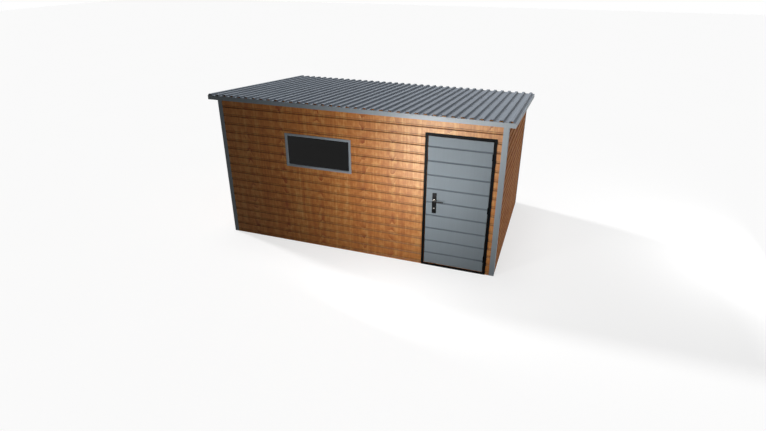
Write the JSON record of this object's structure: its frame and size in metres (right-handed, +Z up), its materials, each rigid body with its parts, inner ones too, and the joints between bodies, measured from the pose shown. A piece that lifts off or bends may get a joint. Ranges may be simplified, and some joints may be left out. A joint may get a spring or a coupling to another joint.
{
  "type": "garden shed",
  "caption": "Garden shed with a low pent roof of ribbed steel, wood-look panel walls, a hinged door with a lever handle and a fixed window.",
  "frame": {"origin": "on the ground under the centre of the roof", "axes": "+Z up, front with the door faces -Y, +X to the right seen from the front"},
  "size_m": [4.164, 2.732, 2.1469],
  "materials": {
    "frame_tube": "galvanised and painted tube, satin",
    "panel": "wood-grain printed steel sheet, satin",
    "panel_lining": "wood-grain printed steel sheet, satin",
    "flashing": "graphite grey coated steel, satin",
    "roof": "graphite grey coated steel, satin",
    "leaf": "grey coated steel, satin",
    "black_steel": "black painted steel, satin",
    "window_frame": "grey window profile, satin",
    "glass": "dark glass, clear finish",
    "handle_black": "black lacquered metal, semi-gloss",
    "lock_metal": "nickel-plated metal, satin"
  },
  "bodies": {
    "shed": {"base_front": "frame_tube", "base_back": "frame_tube", "base_left": "frame_tube", "base_right": "frame_tube", "post_front_left": "frame_tube", "post_front_right": "frame_tube", "post_back_left": "frame_tube", "post_back_right": "frame_tube", "door_posts": "frame_tube", "door_head_rail": "frame_tube", "window_studs": "frame_tube", "window_rails": "frame_tube", "wall_studs": "frame_tube", "top_rails": "frame_tube", "rafter_left": "frame_tube", "rafter_middle": "frame_tube", "rafter_right": "frame_tube", "roof_purlins": "frame_tube", "front_wall_left": "panel", "front_wall_over_door": "panel", "front_wall_right": "panel", "back_wall": "panel", "left_wall": "panel", "right_wall": "panel", "corner_trim_front_left": "flashing", "corner_trim_front_right": "flashing", "corner_trim_back_left": "flashing", "corner_trim_back_right": "flashing", "front_fascia": "flashing", "back_flashing": "flashing", "verge_left": "flashing", "verge_right": "flashing", "roof_sheet": "roof", "window_frame": "window_frame", "window_glass": "glass", "door_frame": "black_steel", "door_liner": "panel_lining", "hinge_fixed": "black_steel"},
    "door": {"door_leaf": "leaf", "door_lining": "panel_lining", "hinge_moving": "black_steel", "handle_plates": "handle_black", "lock_cylinder": "lock_metal"},
    "lever": {"lever_handle": "handle_black"}
  },
  "joints": [
    {"name": "door_swing", "type": "hinge", "parent": "shed", "child": "door", "pos_m": [1.843, -1.286, 0.95], "axis": [0, 0, 1], "range_deg": [0, 110]},
    {"name": "lever_turn", "type": "hinge", "parent": "door", "child": "lever", "pos_m": [1.147, -1.26, 0.99], "axis": [0, 1, 0], "range_deg": [0, 45], "stiffness_Nm_per_rad": 1.5, "springref_deg": -11.46}
  ]
}
